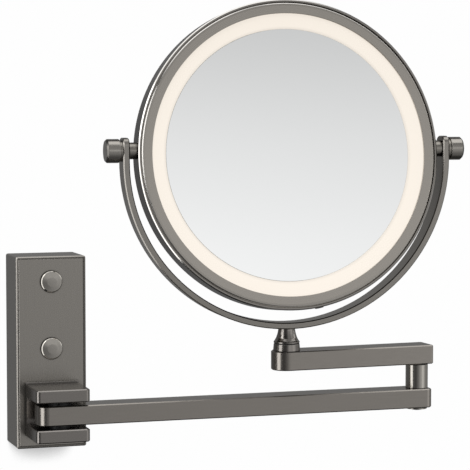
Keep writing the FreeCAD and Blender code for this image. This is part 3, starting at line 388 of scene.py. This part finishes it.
# The land with its bevelled outer edge, the seam's floor, and the skirt inside the band.
# Its bevel takes the lighter polished grey, a painted highlight.
both_faces("rim_ring", [
    (LAND_STEP, LAND_UNDER, 0, 0), (LAND_INNER, LAND_UNDER, 0.05, 0),
    (LAND_INNER, HEAD_HALF, 0.3, 0), (103.6, HEAD_HALF, 2.0, 0),
    (104.9, HEAD_HALF - 0.07, 0.1, 1), (105.93, HEAD_HALF - 0.72, 0.05, 0),
    (105.97, SEAM_FLOOR, 0.05, 0), (SKIRT_OUTER, SEAM_FLOOR, 0.05, 0),
    (SKIRT_OUTER, SKIRT_FOOT, 0.1, 0), (SKIRT_INNER, SKIRT_FOOT, 0.1, 0),
    (SKIRT_INNER, LAND_STEP_UNDER, 0.05, 0), (LAND_STEP, LAND_STEP_UNDER, 0.05, 0),
    (LAND_STEP, LAND_UNDER, 0, 0)], [metal_land, metal_bright], "bezel")
# The band's bevelled outer edge, a hair over the CAD band.
# Its bevel takes the lighter polished grey, a painted highlight, and the rest the darker rim grey, a painted
# shade.
both_faces("rim_edge", [
    (106.8, EDGE_FOOT, 0, 0), (EDGE_OUTER, EDGE_FOOT, 0.1, 0),
    (EDGE_OUTER, HEAD_HALF - RIM_CHAMFER, 0.12, 1), (107.25, EDGE_FACE, 0.12, 0),
    (EDGE_INNER, EDGE_FACE, 0.08, 0), (EDGE_INNER, EDGE_FOOT, 0.1, 0),
    (106.8, EDGE_FOOT, 0, 0)], [metal_rim, metal_bright], None)
# The lit ring slopes down from the land to the glass.
both_faces("light_ring", [
    (99, OPAL_TOP, 0, 0), (98.1, OPAL_TOP, 0.3, 0), (93, 5.95, 6.0, 0), (OPAL_BORE, 4.5, 0.3, 0),
    (OPAL_BORE, 2.6, 0.1, 0), (97.5, OPAL_FLANGE_UNDER, 0.3, 0),
    (OPAL_FLANGE, OPAL_FLANGE_UNDER, 0.1, 0), (OPAL_FLANGE, OPAL_TOP, 0.1, 0),
    (99, OPAL_TOP, 0, 0)], [opal], "diffuser")
turned("front_glass", eased([
    (0, -GLASS_FACE, 0, 0), (GLASS_RADIUS, -GLASS_FACE, 0.08, 1),
    (GLASS_RADIUS, -GLASS_BACK, 0.1, 1), (0, -GLASS_BACK, 0, 0)]),
    head_centre, head_turn, "Y", [silver, glass_edge], "head", "front_mirror",
    ROUND_HEAD)


def bowl(radius, sag, at, count):
    """A spherical hollow: at a distance r out it stands at + the sphere's rise over r."""
    sphere = (radius ** 2 + sag ** 2) / (2 * sag)
    r = np.linspace(0, radius, count)
    return np.stack([r, at + sphere - np.sqrt(sphere ** 2 - r ** 2)], axis=-1)


BOWL_POINTS = 40
hollow = bowl(GLASS_RADIUS, REAR_GLASS_SAG, GLASS_BACK, BOWL_POINTS)
behind = hollow[::-1] - [0, REAR_GLASS_THICK]
silvered, ground = np.zeros(BOWL_POINTS - 1), np.ones(BOWL_POINTS)
turned("rear_glass", (np.vstack([hollow, behind]), np.r_[silvered, ground]), head_centre,
       head_turn, "Y", [silver, glass_edge], "head", "rear_mirror", ROUND_HEAD)

# ------------------------------------------------------------------ tilt knobs
# Each is a drum on the tilt axis, bevelled and slightly domed at its outer end. The bevel is in the darker
# knob-edge grey, a painted shade.
for side, sign in (("left", -1), ("right", 1)):
    drum = [(0, KNOB_INNER_END, 0, 0), (KNOB_RADIUS, KNOB_INNER_END, 0.35, 0),
            (KNOB_RADIUS, KNOB_SIDE_END, 0.25, 1), (7.1, 129.35, 0.25, 0), (0, 129.55, 0, 0)]
    turned(f"knob_{side}", eased([(r, sign * a, e, k) for r, a, e, k in drum]), pivot, yoke_turn,
           "X", [metal_knob, metal_knob_edge], f"knob_{side}",
           f"tilt_knob_{side}", ROUND_PIECE)


# ------------------------------------------------------------------ screw caps, collar and bell
def ends_of(node):
    """The middle of the lower face and of the upper face of a CAD node's box."""
    low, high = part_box(node)
    x, y = (low[0] + high[0]) / 2, (low[1] + high[1]) / 2
    return (x, y, low[2]), (x, y, high[2])


# A cap is a low dome with a bevel in the lighter turned grey, a painted highlight, a side in the darker knob-edge
# grey, a painted shade, and a shank in the plate.
for side in ("upper", "lower"):
    low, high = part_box(f"screw_cap_{side}")
    seat = ((low[0] + high[0]) / 2, low[1] + CAP_RISE * MM, (low[2] + high[2]) / 2)
    crown = [(0, -CAP_RISE, 0, 0), (3.4, -2.68, 6, 0), (6.75, -2.25, 0.5, 1),
             (CAP_RADIUS, -1.6, 0.3, 2), (CAP_RADIUS, CAP_FOOT, 0.1, 2),
             (CAP_SHANK, CAP_FOOT, 0.1, 0), (CAP_SHANK, CAP_SHANK_END, 0.3, 0),
             (0, CAP_SHANK_END, 0, 0)]
    turned(f"cap_{side}", eased(crown), seat, UPRIGHT, "Y",
           [metal_knob, metal_turned, metal_knob_edge], "wall_base",
           f"screw_cap_{side}", ROUND_CAP)

# The collar flares a little downwards and steps in where it enters the arm.
_, top = ends_of("swivel_collar")
turned("collar", eased([
    (SWIVEL_BORE, 0, 0, 0), (9.1, 0, 0.35, 0), (9.5, -4.75, 0.1, 0), (COLLAR_WAIST, -4.8, 0.1, 0),
    (COLLAR_WAIST, COLLAR_FOOT, 0.1, 0), (SWIVEL_BORE, COLLAR_FOOT, 0.1, 0),
    (SWIVEL_BORE, 0, 0, 0)]),
    top, UPRIGHT, "Z", [metal_bell], "upper_arm", "swivel_collar", ROUND_PIECE)

# The bell draws in from its foot to its neck in one hollow curve.
foot, top = ends_of("swivel_bell")
tall = (top[2] - foot[2]) / MM
turned("bell", eased([
    (BELL_BORE, 0, 0, 0), (BELL_FOOT, 0, 0.3, 0), (BELL_FOOT, 0.9, 0.3, 0), (8.5, 1.7, 2.5, 0),
    (7.4, 3.6, 4, 0), (6.5, 6.3, 8, 0), (5.95, 9.0, 8, 0), (5.9, tall, 0, 0),
    (BELL_BORE, tall, 0.05, 0), (BELL_BORE, 0, 0, 0)]),
    foot, UPRIGHT, "Z", [metal_bell], "yoke", "swivel_bell", ROUND_PIECE)

# The column is a plain post between the arms with a spigot in the lower one.
_, top = ends_of("elbow_column")
turned("column", eased([
    (SWIVEL_BORE, 0, 0, 0), (COLUMN_RADIUS, 0, 0.3, 0), (COLUMN_RADIUS, -17.1, 0.3, 0),
    (COLUMN_SPIGOT, -17.15, 0.05, 0), (COLUMN_SPIGOT, COLUMN_FOOT, 0.1, 0),
    (SWIVEL_BORE, COLUMN_FOOT, 0.1, 0), (SWIVEL_BORE, 0, 0, 0)]),
    top, UPRIGHT, "Z", [metal_turned], "lower_arm", "elbow_column", ROUND_PIECE)


# ------------------------------------------------------------------ room, light and camera
def backdrop(name, corners, material):
    """A flat sheet of the room from its corners. Metal parts don't show it as a reflection."""
    mesh = bpy.data.meshes.new(name)
    mesh.from_pydata(corners, [], [list(range(len(corners)))])
    item = new_object(name, mesh)
    mesh.materials.append(material)
    item.visible_glossy = False


def one_sided(tree, output, front):
    """Joins the front shader to a sheet that is clear from behind."""
    clear = add(tree, "ShaderNodeBsdfTransparent")
    side = add(tree, "ShaderNodeNewGeometry")
    faced = add(tree, "ShaderNodeMixShader",
                links={0: side.outputs["Backfacing"], 1: front, 2: clear.outputs["BSDF"]})
    tree.links.new(faced.outputs["Shader"], output.inputs["Surface"])


def shaded_wall(name, reach):
    """The soft shade that a thing on a matt white wall leaves, on a sheet clear elsewhere.

    The shade is what blocks the light from above within reach mm. The white itself is the
    world's, so whatever swings behind the sheet still shows.
    """
    material, output = new_material(name)
    tree = material.node_tree
    above = add(tree, "ShaderNodeCombineXYZ", values={"Y": -0.3, "Z": 0.95})
    shade = add(tree, "ShaderNodeAmbientOcclusion", {"samples": 24},
                {"Normal": above.outputs["Vector"]}, {"Distance": reach * MM})
    grey = add(tree, "ShaderNodeMapRange", links={"Value": shade.outputs["AO"]},
               values={"From Min": 0.35, "From Max": 0.66, "To Min": 0.3, "To Max": 1.0})
    shaded = add(tree, "ShaderNodeBsdfTransparent", links={"Color": grey.outputs["Result"]})
    one_sided(tree, output, shaded.outputs["BSDF"])
    return material


def pale_floor(name, code):
    """Matt pale paint under even light, on a sheet that is clear from below."""
    material, output = new_material(name)
    tree = material.node_tree
    paint = add(tree, "ShaderNodeEmission", values={"Color": linear(code), "Strength": 1.0})
    one_sided(tree, output, paint.outputs["Emission"])
    return material


WHITE = "#fefefe"
WALL_GAP, WALL_MARGIN = 0.0002, 0.05           # metres behind the plate and round it
FLOOR_DROP, FLOOR_REACH = 0.45, 3              # metres below the object and out to each side
SHADE_REACH = 26                               # mm
plate_low, plate_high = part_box("wall_plate")
wall_y = cad_box[1][1] + WALL_GAP
left, low = plate_low[0] - WALL_MARGIN, plate_low[2] - WALL_MARGIN
right, high = plate_high[0] + WALL_MARGIN, plate_high[2] + WALL_MARGIN
backdrop("wall", [(left, wall_y, low), (right, wall_y, low), (right, wall_y, high),
                  (left, wall_y, high)], shaded_wall("matt_white_wall", SHADE_REACH))
floor_z = cad_box[0][2] - FLOOR_DROP
backdrop("floor", [(x * FLOOR_REACH, y * FLOOR_REACH, floor_z)
                   for x, y in ((-1, -1), (1, -1), (1, 1), (-1, 1))],
         pale_floor("matt_pale_floor", WHITE))


def area_light(name, place, target, size, power):
    """A soft rectangular lamp at place, turned to look at target."""
    data = bpy.data.lights.new(name, "AREA")
    data.shape = "RECTANGLE"
    data.size, data.size_y = size
    data.energy = power
    lamp = new_object(name, data)
    lamp.location = place
    lamp.rotation_euler = (Vector(target) - Vector(place)).to_track_quat("-Z", "Y").to_euler()
    return lamp


key = area_light("key_light", (-0.4, -1.0, 1.7), (0.1, 0, 0.05), (1.6, 1.0), 50)
key.visible_glossy = False
area_light("side_panel", (-0.32, -0.21, 0.05), (0.3, -0.12, 0.05), (0.25, 0.9), 1.3)

# The studio is the world's light by bearing (0 straight out from the wall, 90 to the right),
# height, and lean (0 straight out, 90 up, 180 back), in degrees. Each curve is stops of
# (angle, level), and BRIGHTEST is above every level.
# around and fall multiply to the room that the metal shows, and overhead adds a band above it.
# sky and sky_side multiply to the pale panel that the glass shows, which opening_up and
# opening_side set in the room.
BRIGHTEST = 2.0
CURVES = {
    "around": ("bearing", "CARDINAL", [
        (-180, 0.25), (-150, 0.16), (-104, 0.15), (-52, 0.14), (-30, 0.1), (-14, 0.2), (3, 0.32),
        (10, 0.46), (16, 0.55), (28, 0.6), (34, 0.85), (44, 1.0), (56, 0.85), (70, 0.5),
        (86, 0.35), (104, 0.35), (125, 0.2), (180, 0.25)]),
    "fall": ("height", "LINEAR", [
        (-90, 0.08), (-65, 0.18), (-45, 0.38), (-25, 0.8), (-10, 1.0), (10, 1.0), (25, 0.75),
        (40, 0.3), (50, 0.15), (90, 0.15)]),
    "overhead": ("lean", "LINEAR", [
        (-180, 0), (52, 0), (61, 1.35), (103, 1.35), (110, 0.06), (150, 0.12), (176, 0)]),
    "sky": ("height", "LINEAR", [
        (-90, 0.9), (3, 1.04), (5.2, 1.01), (8.6, 0.86), (12, 0.66), (17, 0.5), (60, 0.45),
        (90, 0.4)]),
    "sky_side": ("bearing", "LINEAR", [
        (-180, 1.0), (0, 1.0), (11, 0.98), (18, 0.92), (30, 0.85), (180, 0.85)]),
    "opening_up": ("height", "LINEAR", [(-90, 0), (-3, 0), (4, 1), (60, 1), (90, 0)]),
    "opening_side": ("bearing", "LINEAR", [
        (-180, 0), (-12, 0), (4, 1), (24, 1), (32, 0), (180, 0)]),
}
world = bpy.data.worlds.new("studio")
bpy.context.scene.world = world
world.use_nodes = True
tree = world.node_tree
tree.nodes.clear()
output = add(tree, "ShaderNodeOutputWorld")
place = add(tree, "ShaderNodeTexCoord")
axes = add(tree, "ShaderNodeSeparateXYZ", links={"Vector": place.outputs["Generated"]})
outward = add(tree, "ShaderNodeMath", {"operation": "MULTIPLY"}, {0: axes.outputs["Y"]},
              {1: -1.0})
turn = add(tree, "ShaderNodeMath", {"operation": "ARCTAN2"},
           {0: axes.outputs["X"], 1: outward.outputs[0]})
rise = add(tree, "ShaderNodeMath", {"operation": "ARCSINE"}, {0: axes.outputs["Z"]})
tip = add(tree, "ShaderNodeMath", {"operation": "ARCTAN2"},
          {0: axes.outputs["Z"], 1: outward.outputs[0]})
span = {"bearing": 180, "height": 90, "lean": 180}
share = {}
for name, angle in (("bearing", turn), ("height", rise), ("lean", tip)):
    share[name] = add(tree, "ShaderNodeMapRange", links={"Value": angle.outputs[0]},
                      values={"From Min": -math.radians(span[name]),
                              "From Max": math.radians(span[name])})
level = {}
for name, (angle, between, stops) in CURVES.items():
    ramp = add(tree, "ShaderNodeValToRGB", links={"Fac": share[angle].outputs["Result"]})
    ramp.color_ramp.interpolation = between
    marks = ramp.color_ramp.elements
    while len(marks) < len(stops):
        marks.new(0.5)
    for mark, (at, _) in zip(marks, stops):
        mark.position = (at / span[angle] + 1) / 2
    # A second pass, as moving a mark may put the marks in another order.
    for mark, (_, amount) in zip(marks, stops):
        mark.color = (*[amount / BRIGHTEST] * 3, 1)
    full = add(tree, "ShaderNodeMath", {"operation": "MULTIPLY"}, {0: ramp.outputs["Color"]},
               {1: BRIGHTEST})
    level[name] = full.outputs[0]
room = add(tree, "ShaderNodeMath", {"operation": "MULTIPLY"},
           {0: level["around"], 1: level["fall"]})
lit_room = add(tree, "ShaderNodeMath", {"operation": "ADD"},
               {0: room.outputs[0], 1: level["overhead"]})
sky = add(tree, "ShaderNodeMath", {"operation": "MULTIPLY"},
          {0: level["sky"], 1: level["sky_side"]})
opening = add(tree, "ShaderNodeMath", {"operation": "MULTIPLY"},
              {0: level["opening_up"], 1: level["opening_side"]})
both = add(tree, "ShaderNodeMix", {"data_type": "FLOAT"},
           {0: opening.outputs[0], 2: lit_room.outputs[0], 3: sky.outputs[0]})
light = add(tree, "ShaderNodeBackground", links={"Strength": both.outputs[0]},
            values={"Color": linear("#ffffff")})
backcloth = add(tree, "ShaderNodeBackground", values={"Color": linear(WHITE)})
ray = add(tree, "ShaderNodeLightPath")
shown = add(tree, "ShaderNodeMixShader",
            links={0: ray.outputs["Is Camera Ray"], 1: light.outputs["Background"],
                   2: backcloth.outputs["Background"]})
tree.links.new(shown.outputs["Shader"], output.inputs["Surface"])
bpy.context.scene.view_settings.view_transform = "Standard"

camera_data = bpy.data.cameras.new("camera")
camera_data.lens = 160.18
camera_data.sensor_width = 36.0
camera = new_object("camera", camera_data)
camera.location = (-0.321096, -1.439742, 0.181895)
camera.rotation_euler = (math.radians(85.99), 0.0, math.radians(-17.912))
bpy.context.scene.camera = camera
